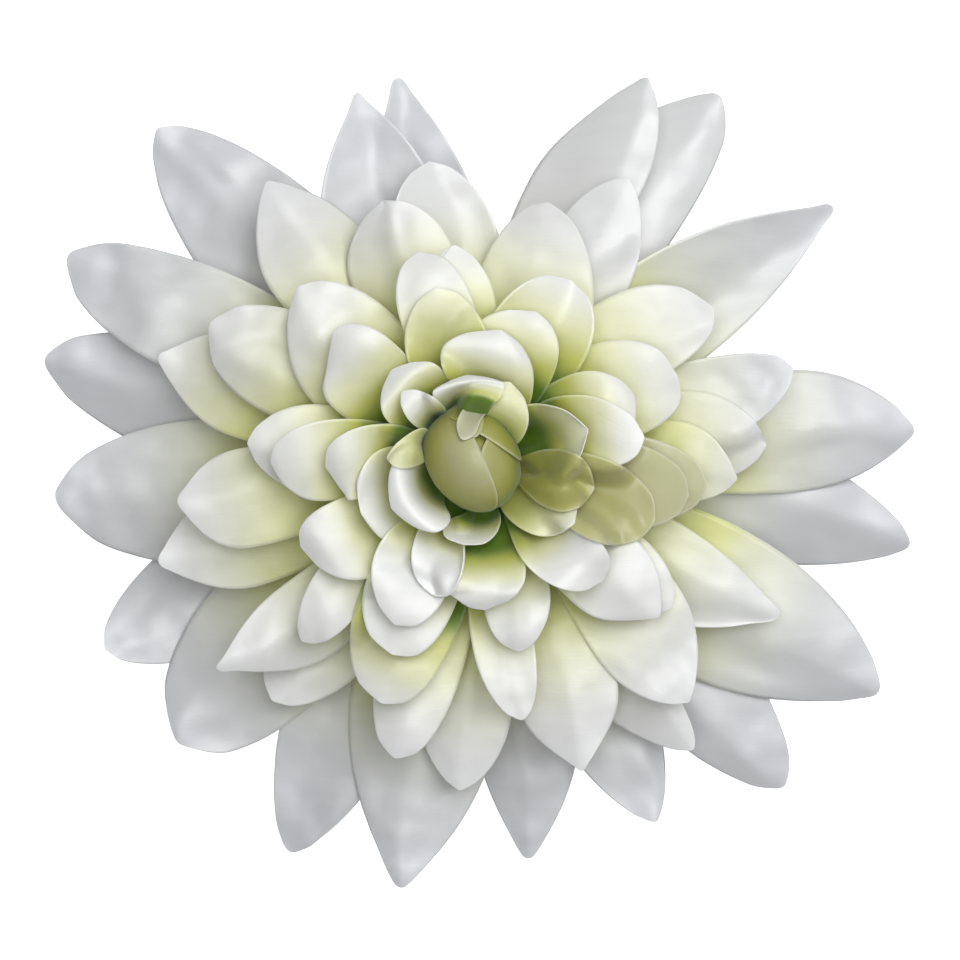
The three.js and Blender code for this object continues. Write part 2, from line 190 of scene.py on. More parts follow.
THREAD = 0.3  # mm from one thread to the next
CUT_SIZE = 160.0  # mm of cloth across the whole of the UV map
GRAIN_STRETCH = (0.08, 1.0, 1.0)  # a thread is long one way, so its noise is stretched that way
SLUBS = 0.13  # thick places in the threads are this many times as frequent as threads
THREAD_HEIGHT = 0.00014  # metres
CLOUDS = 140.0  # patches of uneven dye to a metre
PATCHINESS = 0.25  # how far the dye strays in a patch
DYE_STEPS = ((0.0, 0.35), (0.25, 0.7), (0.6, 1.0))  # between which amounts each colour sets in
RIM_LIGHT = 0.15  # how much paler the painted highlight makes the cut edge
SLUB_SHADE = 0.05  # how much duller a thick place is
LIGHT_DEPTH = 0.0014  # metres that light goes on in the cloth
DULL = linear(150, 150, 146)
# the colour of the painted highlight along the cut edge
EDGE_HIGHLIGHT = linear(250, 250, 246)


def satin(name, colours, roughness, glow):
    """Dyed satin. Its four colours go from no dye to full dye, the darker ones partly painted shade; a
    painted highlight runs along the cut edge, and glow lets light through.
    """
    finish = bpy.data.materials.new(name)
    finish.use_nodes = True
    finish.node_tree.nodes.clear()
    plan = Plan(finish.node_tree)
    dye = plan.node("ShaderNodeAttribute", {"attribute_name": "dye"}, out=2)
    rim_highlight = plan.node("ShaderNodeAttribute", {"attribute_name": "rim_highlight"}, out=2)
    cut = plan.node("ShaderNodeUVMap", {"uv_map": "cut"})
    place = plan.node("ShaderNodeTexCoord", out=3)
    cloud = plan.node("ShaderNodeTexNoise", None, {"Vector": place, "Scale": CLOUDS, "Detail": 3.0})
    patchy = dye + (cloud - 0.5) * PATCHINESS * plan.ease(dye, 0.0, 0.4)
    dyed_and_shaded = colours[0]
    # the dye colours, which are partly painted shade where the green is deep
    for colour, (start, end) in zip(colours[1:], DYE_STEPS):
        dyed_and_shaded = plan.mixed(plan.ease(patchy, start, end), dyed_and_shaded, colour)
    across_threads = cut * (CUT_SIZE / THREAD)
    grain = plan.node("ShaderNodeMapping", None, {"Vector": across_threads, "Scale": GRAIN_STRETCH})
    threads = plan.node("ShaderNodeTexNoise", None, {"Vector": grain, "Scale": 1.0, "Detail": 2.0})
    slubs = plan.node("ShaderNodeTexNoise", None, {"Vector": grain, "Scale": SLUBS, "Detail": 1.0})
    toned = plan.mixed(plan.ease(slubs, 0.35, 0.75, 0.0, SLUB_SHADE), dyed_and_shaded, DULL)
    # a painted highlight along the cut edge
    toned = plan.mixed(plan.ease(rim_highlight, 0.3, 1.0, 0.0, RIM_LIGHT), toned, EDGE_HIGHLIGHT)
    height = threads * 0.6 + slubs * 0.4
    bump = plan.node("ShaderNodeBump", None,
                     {"Height": height, "Strength": 0.28, "Distance": THREAD_HEIGHT})
    rough = plan.ease(threads, 0.2, 0.8, roughness - 0.06, roughness + 0.08)
    body = plan.node("ShaderNodeBsdfPrincipled", None, {
        "Base Color": toned, "Roughness": rough, "Normal": bump,
        "Sheen Weight": 0.2, "Sheen Roughness": 0.4, "Specular IOR Level": 0.6,
        "Subsurface Weight": glow, "Subsurface Radius": (1.0, 1.0, 0.95),
        "Subsurface Scale": LIGHT_DEPTH,
    })
    plan.node("ShaderNodeOutputMaterial", None, {"Surface": body})
    return finish


OLIVE = linear(184, 188, 92)
SPRING = linear(210, 214, 136)
# a dark leaf green, partly the dye and partly painted shade of the hollows at the petals' feet
SHADED_LEAF_GREEN = linear(84, 117, 20)
# One satin in three whites: the greyer white of the outer rosettes is painted shade of low petals
# under the others, and the middle rosettes' white is partly painted shade.
OUTER_SHADED = satin("white satin greyed as shade", [linear(208, 209, 213), linear(214, 216, 198), SPRING, OLIVE],
              0.42, 0.3)
MIDDLE_HALF_SHADED = satin("ivory satin partly greyed as shade", [linear(230, 231, 231), linear(225, 226, 196), SPRING, OLIVE],
               0.42, 0.45)
INNER = satin("cream satin", [linear(236, 237, 236), linear(225, 227, 182), OLIVE, SHADED_LEAF_GREEN],
              0.42, 0.5)
BUD_AND_SHADE_SATIN = satin("bud satin", [linear(188, 187, 152), linear(168, 168, 100), linear(146, 148, 56),
                          SHADED_LEAF_GREEN], 0.44, 0.6)
print("satins", OUTER_SHADED.name, MIDDLE_HALF_SHADED.name, INNER.name, BUD_AND_SHADE_SATIN.name)

# %% [markdown]
# ## One pressed petal
# A petal is cut flat and then pressed hot over a former, which cups it, folds it along its midrib
# and bends it from its foot to its tip. Every petal follows that rule, so one Geometry Nodes tree
# makes them all. Its inputs are the four points that steer the midrib and the sizes of the cut and
# of the press. The next cells write its sums one after another, and then the tree itself.

# %% Sizes of the press
PRESS_SIZES = {
    "foot": "Vector", "foot handle": "Vector", "tip handle": "Vector", "tip": "Vector",
    "leaves": "Float", "turn": "Float", "length": "Float", "half width": "Float",
    "left share": "Float", "right share": "Float", "widest": "Float", "point": "Float",
    "blunt": "Float", "cup": "Float", "relax": "Float", "left fold": "Float", "right fold": "Float",
    "fold line": "Float", "bow": "Float", "left curl": "Float", "right curl": "Float",
    "curl start": "Float", "lip": "Float", "wrap": "Float", "ripple": "Float", "pleat": "Float",
    "seed": "Float", "dye": "Float", "dye reach": "Float", "tint": "Float", "cloth": "Material",
}
print(len(PRESS_SIZES), "sizes steer one petal")

# %% [markdown]
# ## The midrib and the cut outline
# The midrib is a smooth curve that four points steer. The outline starts as a narrow claw at the
# foot, swells to the widest place, and tapers to the tip, which may be cut round. Both are sums on
# how far along the petal a point is, from 0 at the foot to 1 at the tip.

# %% The midrib and the cut outline
def on_midrib(size, along):
    """A place on the midrib, and the way that it heads there."""
    rest = 1.0 - along
    line = (size["foot"] * rest ** 3.0 + size["foot handle"] * (3.0 * rest ** 2.0 * along)
            + size["tip handle"] * (3.0 * rest * along ** 2.0) + size["tip"] * along ** 3.0)
    heading = ((size["foot handle"] - size["foot"]) * rest ** 2.0
               + (size["tip handle"] - size["foot handle"]) * (2.0 * rest * along)
               + (size["tip"] - size["tip handle"]) * along ** 2.0)
    return line, heading


def compass(plan, bearing):
    """The level directions along a bearing and to the left of it."""
    cosine = plan.maths("COSINE", bearing)
    sine = plan.maths("SINE", bearing)
    return plan.vector(cosine, sine), plan.vector(0.0 - sine, cosine)


CLAW_HALF_WIDTH = 1.1  # mm at the foot, the petal's claw
SWELL = 1.1  # how hollow the outline is between the claw and the widest place
ROUNDNESS = 2.2  # how long the outline stays wide before it tapers to the tip
ROUNDED = 1.5  # how many times its half width the round end of a tip is long
NEVER_SHARP = 1.01  # a little over 1, so that the round end doesn't close to a point


def outline(plan, size, along):
    """Half the width of the petal as it is cut."""
    grown = plan.maths("MINIMUM", along / size["widest"], 1.0) * (math.pi / 2)
    grown = plan.maths("SINE", grown) ** SWELL
    past = plan.maths("MAXIMUM", along - size["widest"], 0.0) / (1.0 - size["widest"])
    taper = plan.maths("MAXIMUM", 1.0 - past ** ROUNDNESS, 0.0) ** size["point"]
    half = (CLAW_HALF_WIDTH + (size["half width"] - CLAW_HALF_WIDTH) * grown) * taper
    rounded = size["blunt"] * ROUNDED / size["length"]
    at_tip = plan.maths("MAXIMUM", along - (1.0 - rounded), 0.0) / rounded
    round_tip = plan.maths("SQRT", NEVER_SHARP - at_tip * at_tip)
    return (half ** 3.0 + size["blunt"] ** 3.0) ** (1 / 3) * round_tip


print("claw", 2 * CLAW_HALF_WIDTH, "mm wide")

# %% [markdown]
# ## The hollow, the fold and the waves
# The former hollows the cloth like a spoon, and its rims may be rolled in or back. Cloth doesn't
# stretch, so the hollow is an arc of the petal's own width: the deeper it is, the narrower the
# petal looks. A fold is pressed along the midrib, and a noise with a seed of its own for each
# petal gives the waves that handling leaves.

# %% The hollow, the fold and the waves
CLAW_CUP = math.radians(30)
FLAT_SHARE = 0.45  # share of the half width beyond which a rim may curl
LEAST_BEND = 0.0001  # keeps the bend of a rim from being zero, because a sum divides by it


def hollow(plan, size, along, side):
    """How far sideways and up the cupped and curled cloth goes, in half widths."""
    cup = (size["cup"] * (1.0 - size["relax"] * plan.ease(along, 0.4, 1.0))
           + (CLAW_CUP - size["cup"]) * (1.0 - along) ** 4.0)
    flat_side = plan.maths("MAXIMUM", plan.maths("MINIMUM", side, FLAT_SHARE), -FLAT_SHARE)
    sideways, raised = plan.arc(cup, 0.0, flat_side)
    rolled = plan.ease(along, size["curl start"], size["curl start"] + 0.4)
    for curl, way in (("left curl", 1.0), ("right curl", -1.0)):
        rate = cup + size[curl] * rolled * (1.0 / (1.0 - FLAT_SHARE)) + LEAST_BEND
        out = plan.maths("MAXIMUM", side * way - FLAT_SHARE, 0.0)
        further, higher = plan.arc(rate, cup * FLAT_SHARE, out)
        sideways = sideways + further * way
        raised = raised + higher
    return sideways, raised


FOLD_SOFTNESS = 1.2  # mm either side of a pressed fold over which it is rounded


def fold(plan, size, along, off_fold):
    """How high the halves stand either side of the pressed fold."""
    either_side = plan.maths("SQRT", off_fold * off_fold + FOLD_SOFTNESS ** 2) - FOLD_SOFTNESS
    return ((either_side + off_fold) * size["left fold"]
            + (either_side - off_fold) * size["right fold"]) * (0.5 * along)


WAVE = 8.0  # mm between one wave of the cloth and the next
PLEAT = 3.4  # mm between one lengthwise fold and the next
PLEAT_STRETCH = 6  # a lengthwise fold is this many times as long as it is wide
NOISE_SWING = 4.0  # a noise strays by about a quarter from its middle, so this makes it one


def waves(plan, size, along, reached, beside):
    """The height of the cloth's waves and of its lengthwise folds."""
    wave_place = plan.vector(reached / WAVE, beside / WAVE, size["seed"])
    wave = plan.node("ShaderNodeTexNoise", None, {"Vector": wave_place, "Scale": 1.0, "Detail": 1.0})
    pleat_place = plan.vector(reached / (PLEAT * PLEAT_STRETCH), beside / PLEAT, size["seed"])
    pleat = plan.node("ShaderNodeTexNoise", None, {"Vector": pleat_place, "Scale": 1.0, "Detail": 0.0})
    return ((wave - 0.5) * size["ripple"] * NOISE_SWING * along,
            (pleat - 0.5) * size["pleat"] * NOISE_SWING * along)


print("waves every", WAVE, "mm, lengthwise folds every", PLEAT, "mm")

# %% [markdown]
# ## What the cloth remembers
# The dye was sprayed on the foot, and partly stands in as painted shade; a painted highlight runs
# along the cut rim, and the threads run as they did on the flat cloth. The bent shape no longer
# tells any of this, so the tree keeps it on the mesh for the satin to read: the dye and the rim
# highlight as attributes, and "cut" as a UV map.

# %% What the cloth remembers
HOLE = 5.0  # mm from the peg's axis to where a petal begins on the flat cloth
DYE_HOLDS = 0.15  # share of its reach over which the dye stays full
RIM_WIDTH = 0.8  # mm from the cut edge over which the painted highlight fades out


def stored(plan, geometry, name, value, kind="FLOAT", domain="POINT"):
    """The geometry with a value kept on it under a name."""
    return plan.node("GeometryNodeStoreNamedAttribute", {"data_type": kind, "domain": domain},
                     {"Geometry": geometry, "Name": name, "Value": value})


def marked(plan, petal, size, along, side, half, reached):
    """The petal with its dye, which is partly painted shade, the painted highlight of its cut rim, and
    its place on the flat cloth kept on it.
    """
    rest = 1.0 - along
    fading = plan.ease(reached, size["dye reach"] * DYE_HOLDS, size["dye reach"], 1.0, 0.0)
    # green at the foot and cream towards the tip, each partly painted shade
    dye = size["dye"] * fading + size["tint"] * rest
    from_side = (1.0 - plan.maths("ABSOLUTE", side)) * half
    from_edge = plan.maths("MINIMUM", from_side, rest * size["length"])
    # one at the cut edge and none a little inside it: where the satin paints a highlight
    rim_highlight = plan.ease(from_edge, 0.0, RIM_WIDTH, 1.0, 0.0) * plan.ease(along, 0.1, 0.4)
    foot_way, foot_side = compass(plan, size["leaves"])
    cut = (foot_way * (reached + HOLE) + foot_side * (half * side)) * (1.0 / CUT_SIZE)
    petal = stored(plan, petal, "dye", dye)
    petal = stored(plan, petal, "rim_highlight", rim_highlight)
    return stored(plan, petal, "cut", cut + plan.vector(0.5, 0.5), "FLOAT2", "CORNER")


print("rim_highlight", RIM_WIDTH, "mm wide")

# %% [markdown]
# ## The press
# The tree starts from a flat grid, works out where each of its points belongs, and moves it there.
# The points could also be worked out in Python, but a tree keeps its inputs in the modifier panel,
# where a petal can be pulled about by hand.

# %% The press, as a Geometry Nodes tree
STEPS_ALONG = 52
STEPS_ACROSS = 28
TIP_CROWDING = 1.8  # with more than 1 the rows of points stand closer at the tip than at the foot
SWAY_DELAY = 1.3  # with more than 1 the midrib swings out nearer to the tip than to the foot
LIP_START = 0.8  # share of the length from which a tip may rise


def petal_press():
    """The tree that turns a flat grid into one petal, row by row from its foot to its tip."""
    tree = bpy.data.node_groups.new("petal press", "GeometryNodeTree")
    tree.is_modifier = True
    for name, kind in {"blank": "Geometry", **PRESS_SIZES}.items():
        tree.interface.new_socket(name, in_out="INPUT", socket_type="NodeSocket" + kind)
    tree.interface.new_socket("petal", in_out="OUTPUT", socket_type="NodeSocketGeometry")
    plan = Plan(tree)
    sockets = tree.nodes.new("NodeGroupInput").outputs
    size = {name: Wire(plan, sockets[name]) for name in PRESS_SIZES}

    flat = plan.node("GeometryNodeMeshGrid", None, {
        "Size X": 1.0, "Size Y": 2.0,
        "Vertices X": STEPS_ALONG + 1, "Vertices Y": STEPS_ACROSS + 1,
    })
    x, side, _ = plan.parts(plan.node("GeometryNodeInputPosition"))
    along = 1.0 - (0.5 - x) ** TIP_CROWDING
    reached = size["length"] * along
    half = outline(plan, size, along)
    sideways, raised = hollow(plan, size, along, side)
    across = half * (plan.maths("MAXIMUM", sideways, 0.0) * size["left share"]
                     + plan.maths("MINIMUM", sideways, 0.0) * size["right share"])
    folded = fold(plan, size, along, across - half * size["fold line"])
    tip_edge = plan.maths("MAXIMUM", along - LIP_START, 0.0) / (1.0 - LIP_START)
    wave, pleat = waves(plan, size, along, reached, half * side)
    height = half * raised + folded + size["lip"] * tip_edge * tip_edge + wave + pleat

    line, heading = on_midrib(size, along)
    way, level = compass(plan, size["leaves"] + (size["turn"] - size["leaves"]) * along)
    upright = plan.node("ShaderNodeVectorMath", {"operation": "CROSS_PRODUCT"}, {0: heading, 1: level})
    upright = plan.node("ShaderNodeVectorMath", {"operation": "NORMALIZE"}, {0: upright})
    sway = size["bow"] * plan.maths("SINE", along ** SWAY_DELAY * math.pi)
    back = way * (across * across * size["wrap"] * -0.5)
    place = line + level * (sway + across) + upright * height + back

    petal = marked(plan, flat, size, along, side, half, reached)
    petal = plan.node("GeometryNodeSetPosition", None, {"Geometry": petal, "Position": place})
    petal = plan.node("GeometryNodeSetShadeSmooth", None, {"Geometry": petal})
    petal = plan.node("GeometryNodeRealizeInstances", None, {"Geometry": petal})
    petal = plan.node("GeometryNodeSetMaterial", None, {"Geometry": petal, "Material": size["cloth"]})
    plan.node("NodeGroupOutput", None, {"petal": petal})
    return tree


PRESS = petal_press()
print("press of", len(PRESS.nodes), "nodes")

# %% [markdown]
# ## The rosettes
# Seen from above, each petal's tip has its own direction and reach, because the rosettes were
# turned and ruffled by hand. The table gives these for all eighty, lowest rosette first, with the
# shape of the press. Every rosette leaves the peg at even steps of 36 degrees.

# %% Table of rosettes
PETALS_IN_ROSETTE = 10
# hub: height on the peg. start: direction of the first petal at the peg. rise and fall: slope at
# the peg and at the tip. tip: height of the tips. widest: share of the length at which a petal
# is widest. point: 0.5 for a round tip, 1 for a pointed one. blunt: half the width in millimetres
# at which the tip is cut round. cup: how far the edges turn up. relax: how many times over the cup
# is lost at the tip, so that with more than 1 the tip's edges turn down.
# turn and reach: where a tip is. bow: how far the middle swings anticlockwise of the tip. fold,
# left_fold and right_fold: how far both halves or one are folded up about the fold line, which
# lies a share of the half width to the left. uneven: by what share the left half is wider than
# half the width, and the right half narrower. left_curl and right_curl: how far the rims roll in,
# from curl_start on. lip: how far the tip rises. wrap: how sharply the sides bend back round the
# bud, as one over the radius. ripple and pleat: height of the waves and of the lengthwise folds.
# dye and dye_reach: green at the foot, partly sprayed dye and partly painted shade, raised on petals
# that lie in shade. tint: cream that fades towards the tip, likewise partly painted shade. hold: how
# long the midrib's handles are. cloth: the rosette whose satin a petal has, where it isn't its own:
# "c" gives a few outer petals that face the lamp a paler satin as a painted highlight, and "bud"
# gives a few petals in shade the bud's darker, yellowed satin as painted shade. Lengths are in
# millimetres and angles in degrees.
PLAIN = {
    "blunt": 0.9, "relax": 1.2, "uneven": 0.0, "bow": 0.0, "fold": 0.0, "fold_line": 0.0,
    "left_curl": 0.0, "right_curl": 0.0, "curl_start": 0.2, "lip": 0.0, "wrap": 0.0,
    "ripple": 0.35, "pleat": 0.0, "dye": 0.95, "dye_reach": 30.0, "tint": 0.1, "hold": 0.35,
}
ROSETTES = [
    {"name": "a", "hub": 9, "start": 24.6, "rise": 18, "fall": -16, "tip": 4, "widest": 0.6,
     "point": 0.7, "cup": 6, "fold": -10, "ripple": 0.8, "dye_reach": 45, "tint": 0.22, "petals": [
         dict(turn=16.6, reach=48.6, width=13, bow=-1.6, hub=13.6, tip=22, fall=-6, point=0.55,
              fold=4),
         # painted highlight: the paler satin of rosette c on a petal that faces the lamp
         dict(turn=57.0, reach=65.6, width=17, bow=0.7, uneven=0.13, point=0.45, fall=-22,
              left_fold=-52, right_fold=-12, fold_line=-0.05, left_curl=40, right_curl=-40, blunt=3.4,
              dye_reach=36, tint=0.1, cloth="c", tip=5),
         dict(turn=101.8, reach=58.8, width=15, widest=0.53, point=1, fall=-4, left_fold=44,
              right_fold=14, fold_line=0.25, blunt=1.2, dye_reach=36, tint=0.1),
         dict(turn=133.8, reach=69.0, width=21.5, bow=-0.4, uneven=0.08, widest=0.47, point=0.6,
              left_fold=-16, right_fold=-4, ripple=1.0, blunt=1.4),
         dict(turn=166.7, reach=66.5, width=19.5, bow=0.6, widest=0.5, left_fold=-42, right_fold=-6,
              point=0.6, ripple=0.7, blunt=2.8),
         dict(turn=206.5, reach=62.3, width=20, bow=-0.6, rise=6, fall=6, tip=6, widest=0.52,
              point=0.6, left_fold=4, right_fold=-16, fold_line=0.2),
         dict(turn=244.1, reach=64.5, width=19, bow=-0.5, tip=2, fall=-28, widest=0.54, point=0.8,
              left_fold=30, right_fold=14, fold_line=-0.3, left_curl=-70, blunt=2.2, dye_reach=50),
         dict(turn=277.2, reach=59.7, width=17, bow=1.3, uneven=0.13, widest=0.54, point=0.9,
              left_fold=-14, right_fold=-34, fall=-22, blunt=1.4),
         dict(turn=313.3, reach=66.6, width=16.5, bow=0.9, left_fold=-6, right_fold=-48,
              fold_line=-0.25, pleat=0.25, point=0.62, blunt=2, fall=-22),
         dict(turn=349.1, reach=65.7, width=17, bow=0.8, uneven=0.13, point=0.75, left_fold=-10,
              right_fold=-50, fold_line=0.25, blunt=1.8, fall=-20),
     ]},
    {"name": "b", "hub": 12, "start": 4.1, "rise": 22, "fall": -14, "tip": 10, "widest": 0.62,
     "point": 0.75, "cup": 6, "fold": -10, "ripple": 0.8, "dye_reach": 48, "tint": 0.38, "petals": [
         dict(turn=4.2, reach=65.3, width=18, bow=0.2, uneven=0.12, widest=0.7, point=0.8,
              left_fold=-10, right_fold=-34, fold_line=0.1, blunt=2, dye_reach=54, tint=0.45),
         dict(turn=35.8, reach=65.1, width=17.5, bow=0.8, left_fold=42, right_fold=0, fold_line=-0.3,
              widest=0.46, point=1, blunt=1.1, fall=0, tip=13, tint=0.45, dye_reach=44),
         # painted highlight: the paler satin of rosette c on a petal that faces the lamp
         dict(turn=66.3, reach=62.6, width=16, bow=-0.6, uneven=0.22, widest=0.7, fall=-24,
              left_fold=-60, right_fold=-6, fold_line=-0.2, blunt=1.4, dye_reach=30, tint=0.2,
              cloth="c"),
         dict(turn=108.1, reach=57.7, width=18, bow=0.9, uneven=0.12, point=1.05, fall=12, tip=14,
              left_fold=30, right_fold=24, fold_line=0.05, dye_reach=34, tint=0.2),
         dict(turn=153.2, reach=68.2, width=16.5, bow=-0.8, uneven=0.16, point=0.55, fall=-26, tip=8,
              left_fold=-14, right_fold=-4, ripple=1.1, tint=0.4, blunt=2.6),
         dict(turn=184.5, reach=63.3, width=21, bow=-0.2, uneven=0.12, tip=5, point=0.6,
              left_fold=-20, right_fold=-4, tint=0.45, dye_reach=50, blunt=3.6),
         dict(turn=223.0, reach=61.1, width=22.5, bow=-0.4, uneven=-0.1, tip=9, fall=-4, left_fold=-6,
              right_fold=-34, fold_line=-0.4, blunt=3.0, point=0.5, tint=0.6),
         dict(turn=259.6, reach=64.3, width=22.5, bow=-0.6, widest=0.54, left_fold=-16,
              right_fold=-38, fold_line=-0.15, point=0.94, blunt=1.7, dye_reach=50),
         dict(turn=296.4, reach=59.5, width=15, bow=0.4, left_fold=-46, right_fold=-16, fold_line=0.6,
              blunt=1.4),
         dict(turn=330.1, reach=68.7, width=23, bow=-1.6, uneven=0.12, left_fold=-6, right_fold=-44,
              fold_line=0.05, widest=0.56, point=0.8, blunt=2.4, dye_reach=54, tint=0.45),
     ]},
    {"name": "c", "hub": 15, "start": 340.6, "rise": 30, "fall": -18, "tip": 19, "widest": 0.7,
     "point": 0.75, "cup": 8, "fold": -10, "ripple": 0.5, "dye_reach": 44, "tint": 0.35, "petals": [
         dict(turn=333.0, reach=50.2, width=15, bow=-1.2, uneven=-0.2, widest=0.56, left_fold=-10,
              right_fold=-42, point=1.0, blunt=1.5, right_curl=60, tint=0.15, fall=-22),
         dict(turn=3.4, reach=42.8, width=13, bow=0.6, uneven=0.18, widest=0.76, point=0.7,
              left_fold=-14, right_fold=-26, fold_line=0.1),
         dict(turn=62.1, reach=47.6, width=13.5, bow=-0.3, left_fold=-26, right_fold=-8, tint=0.05,
              fall=4, dye_reach=36),
         dict(turn=99.2, reach=45.1, width=15, bow=-0.5, fold_line=-0.25, point=0.6, ripple=0.8,
              fall=2, left_fold=50, right_fold=10, dye_reach=38),
         dict(turn=126.8, reach=52.0, width=16, bow=0.4, uneven=0.12, point=0.9, left_fold=-14,
              right_fold=-40, fall=-22, tint=0.5),
         dict(turn=161.7, reach=49.8, width=15.5, point=1.0, fall=-14, left_fold=-22, tint=0.9,
              dye_reach=50, blunt=1.5),
         dict(turn=197.4, reach=49.5, width=15.5, point=1, left_fold=-14, right_fold=-6, fall=-6,
              tint=0.6, blunt=1.8, dye_reach=46),
         dict(turn=229.2, reach=46.6, width=14, point=0.6, tint=0.4, fall=-8),
         dict(turn=266.9, reach=48.7, width=14, point=0.7, left_fold=-10, right_fold=-26),
         dict(turn=306.9, reach=53.1, width=12, bow=-1.2, uneven=-0.2, left_fold=-10, right_fold=-38,
              fold_line=0.2, point=0.65, widest=0.6),
     ]},
    {"name": "d", "hub": 18, "start": 36.6, "rise": 36, "fall": -18, "tip": 26, "widest": 0.68,
     "point": 0.7, "cup": 10, "fold": -10, "ripple": 0.5, "dye_reach": 41, "tint": 0.35, "petals": [
         dict(turn=33.2, reach=41.5, width=14, bow=1.3, uneven=0.2, point=0.55, fold=-4, tint=0.1,
              fall=8, blunt=1.6),
         dict(turn=74.7, reach=39.8, width=18.5, uneven=-0.16, widest=0.5, point=0.62, left_fold=-22,
              right_fold=-6, fall=16, dye_reach=36),
         dict(turn=109.9, reach=41.0, width=16, bow=0.3, uneven=0.06, widest=0.73, point=0.65,
              fall=-6, left_fold=-30, right_fold=-6),
         dict(turn=152.7, reach=44.5, width=16, bow=-0.3, uneven=0.08, widest=0.6, left_fold=-44,
              right_fold=-6, fold_line=0.45, point=0.5, ripple=0.8, dye_reach=44, blunt=2.4),
         dict(turn=187.3, reach=44.5, width=14.5, uneven=0.15, widest=0.76, left_fold=-14,
              right_fold=-24, point=0.75, blunt=2.4, dye_reach=44, tint=0.5),
         dict(turn=218.4, reach=49.0, width=12.5, bow=1.6, uneven=0.2, point=1.2, left_fold=-40,
              right_fold=-10, fold_line=0.25, fall=-8),
         dict(turn=254.3, reach=45.3, width=12.5, widest=0.6, point=0.5, left_fold=-8, right_fold=-24,
              blunt=1.4),
         dict(turn=288.7, reach=48.0, width=15, bow=0.6, uneven=0.15, widest=0.74, left_fold=-12,
              right_fold=-34, fold_line=0.2, point=1.1),
         dict(turn=311.3, reach=47.1, width=16, bow=0.5, uneven=0.12, point=0.8, fold=-3, pleat=0.3,
              ripple=0.8),
         dict(turn=356.4, reach=38.3, width=11.5, bow=1, uneven=0.2, widest=0.76, point=0.9,
              left_fold=-8, right_fold=-22, tint=0.9, fall=20),
     ]},
    {"name": "e", "hub": 21, "start": 30.5, "rise": 38, "fall": -22, "tip": 32, "widest": 0.64,
     "point": 0.6, "cup": 14, "fold": -10, "ripple": 0.45, "dye_reach": 32, "tint": 0.4, "petals": [
         dict(turn=23.0, reach=32.0, width=15, bow=0.4, uneven=0.15, point=0.42, tint=0.5,
              dye_reach=30, fall=14),
         dict(turn=62.7, reach=30.0, width=15, bow=0.3, hub=21.4, left_fold=24, right_fold=26,
              fold_line=-0.2),
         dict(turn=96.3, reach=31.5, width=11, lip=1.4, left_curl=60),
         dict(turn=135.7, reach=36.9, width=17.5, bow=0.8, uneven=0.1, widest=0.55, left_fold=-38,
              right_fold=-20, fold_line=0.35, tint=0.35, ripple=0.7),
         dict(turn=175.2, reach=33.9, width=13, left_fold=-30, right_fold=-10, fold_line=0.2),
         dict(turn=225.5, reach=37.0, width=9, bow=-0.8, cup=70, fold=0, tint=0.2, fall=-36),
         dict(turn=248.2, reach=38.1, width=15.5, uneven=-0.14, widest=0.55, point=0.42, dye_reach=42,
              left_fold=-8, right_fold=-24, tint=0.7),
         dict(turn=279.7, reach=38.5, width=9, bow=-1, pleat=0.5, fold=0),
         dict(turn=323.0, reach=35.5, width=12, left_fold=-8, right_fold=-28),
         # painted shade: the bud's darker satin on a petal that lies in shade
         dict(turn=353.9, reach=33.8, width=12.5, left_fold=-4, right_fold=-20, tint=0, dye=0.1,
              dye_reach=50, fall=20, cloth="bud"),
     ]},
    {"name": "f", "hub": 24.3, "start": 29.8, "rise": 36, "fall": -38, "tip": 37, "widest": 0.64,
     "point": 0.55, "cup": 18, "fold": -8, "ripple": 0.45, "dye_reach": 27, "tint": 0.35, "petals": [
         dict(turn=22.7, reach=24.9, width=12.5, dye_reach=28, tint=0.4),
         dict(turn=68.8, reach=23.6, width=13.5, bow=0.5, uneven=0.1, tint=0.6, fall=-26),
         dict(turn=105.7, reach=32.0, width=11, tip=34),
         dict(turn=137.2, reach=28.2, width=13, bow=0.7, uneven=0.2, left_fold=-30, right_fold=-10,
              fold_line=-0.2),
         dict(turn=180.0, reach=30.2, width=12, left_fold=-30, right_fold=14, fold_line=0.2, tint=0.7,
              fall=-34),
         dict(turn=205.6, reach=28.8, width=12.5, bow=0.9, uneven=0.2, point=0.5),
         dict(turn=246.0, reach=30.8, width=13.5, bow=-0.5, uneven=-0.1, point=0.42, fall=-12),
         dict(turn=282.5, reach=28.4, width=10, bow=1.4, pleat=0.3, left_fold=-8, right_fold=-24,
              tint=0.1, fall=-30),
         dict(turn=319.6, reach=34.9, width=13, tip=35, left_fold=-12, right_fold=-32, point=0.85,
              tint=0.1),
         # painted shade: the bud's darker satin on a petal that lies in shade
         dict(turn=350.9, reach=31.3, width=12.5, dye=0.2, dye_reach=50, fall=24, tint=0, ripple=0.25,
              cloth="bud"),
     ]},
    {"name": "g", "hub": 26.5, "start": 26.3, "rise": 24, "fall": -42, "tip": 40.5, "hold": 0.42,
     "widest": 0.66, "point": 0.5, "cup": 30, "fold": -4, "ripple": 0.35, "dye_reach": 22,
     "tint": 0.3, "petals": [
         dict(turn=8.6, reach=24.6, width=11, bow=0.4, uneven=0.15, dye_reach=27, fall=-4, tint=0.45),
         dict(turn=80.3, reach=19.6, width=14, bow=0.7, hub=27, uneven=0.15, right_curl=-30, rise=40,
              fall=-24),
         dict(turn=103.6, reach=26.2, width=13, bow=0.6, cup=50, widest=0.55, dye=0.55, dye_reach=40,
              fall=0, tint=0.5, tip=38),
         dict(turn=133.0, reach=18.4, width=11, fall=-50, tint=0.6, wrap=0.05),
         dict(turn=181.9, reach=22.2, width=11, fall=-44, left_fold=-30, right_fold=10, tint=0.7),
